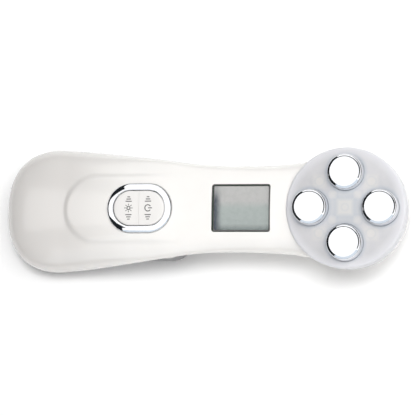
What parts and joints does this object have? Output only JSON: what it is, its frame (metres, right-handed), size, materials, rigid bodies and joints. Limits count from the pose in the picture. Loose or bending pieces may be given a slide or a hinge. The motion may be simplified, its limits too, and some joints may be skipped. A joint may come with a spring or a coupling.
{
  "type": "facial skin care device",
  "caption": "Hand-held facial skin care device: contoured handle with a split stadium-shaped keypad and a display, and a round frosted head with chrome electrodes over a lamp board.",
  "frame": {"origin": "centre of the outline, on the surface that the device lies on", "axes": "+X along the handle towards the head, +Z out of the front face, +Y across the handle"},
  "size_m": [0.18, 0.054, 0.0358],
  "materials": {
    "body": "glossy warm white",
    "cap": "frosted, translucent",
    "chrome": "mirror bright",
    "window": "clear, glossy",
    "lcd": "grey-green, satin",
    "milky": "milky, satin",
    "black": "satin",
    "rubber": "matt",
    "steel": "bright",
    "brass": "bright",
    "board_green": "satin",
    "board_white": "satin",
    "cell": "satin wrap",
    "film": "satin film",
    "red": "satin"
  },
  "bodies": {
    "body": {"back_shell": "body", "battery_cell": "cell", "battery_cradle": "black", "battery_lead_black": "black", "battery_lead_red": "red", "battery_plug": "milky", "battery_tab_negative": "steel", "battery_tab_positive": "steel", "button_bezel": "chrome", "buzzer": "black", "cap_seal": "rubber", "capacitor_1": "steel", "capacitor_2": "steel", "case_screw_1": "steel", "case_screw_2": "steel", "case_screw_3": "steel", "case_screw_4": "steel", "charge_board": "board_green", "charge_socket": "steel", "controller_chip": "black", "display_frame": "black", "display_window": "window", "electrode_1": "chrome", "electrode_2": "chrome", "electrode_3": "chrome", "electrode_4": "chrome", "electrode_carrier": "body", "electrode_nut_1": "brass", "electrode_nut_2": "brass", "electrode_nut_3": "brass", "electrode_nut_4": "brass", "front_shell": "body", "head_cable": "film", "head_cap": "cap", "lamp_board": "board_white", "lamp_centre": "milky", "lamp_inner_1": "milky", "lamp_inner_2": "milky", "lamp_inner_3": "milky", "lamp_inner_4": "milky", "lamp_outer_1": "milky", "lamp_outer_2": "milky", "lamp_outer_3": "milky", "lamp_outer_4": "milky", "lcd_backlight": "milky", "lcd_contact_strip": "rubber", "lcd_panel": "lcd", "led_select_switch": "steel", "main_board": "board_green", "power_inductor": "black", "power_switch": "steel", "rf_transformer": "black"},
    "led_select_key": {"led_select_key": "body"},
    "power_key": {"power_key": "body"}
  },
  "joints": [
    {"name": "led_select_press", "type": "slide", "parent": "body", "child": "led_select_key", "axis": [-0.061, 0, 0.9981], "range_m": [-0.0005, 0], "stiffness_N_per_m": 1500, "springref_m": 0.0002},
    {"name": "power_press", "type": "slide", "parent": "body", "child": "power_key", "axis": [-0.061, 0, 0.9981], "range_m": [-0.0005, 0], "stiffness_N_per_m": 1500, "springref_m": 0.0002}
  ]
}
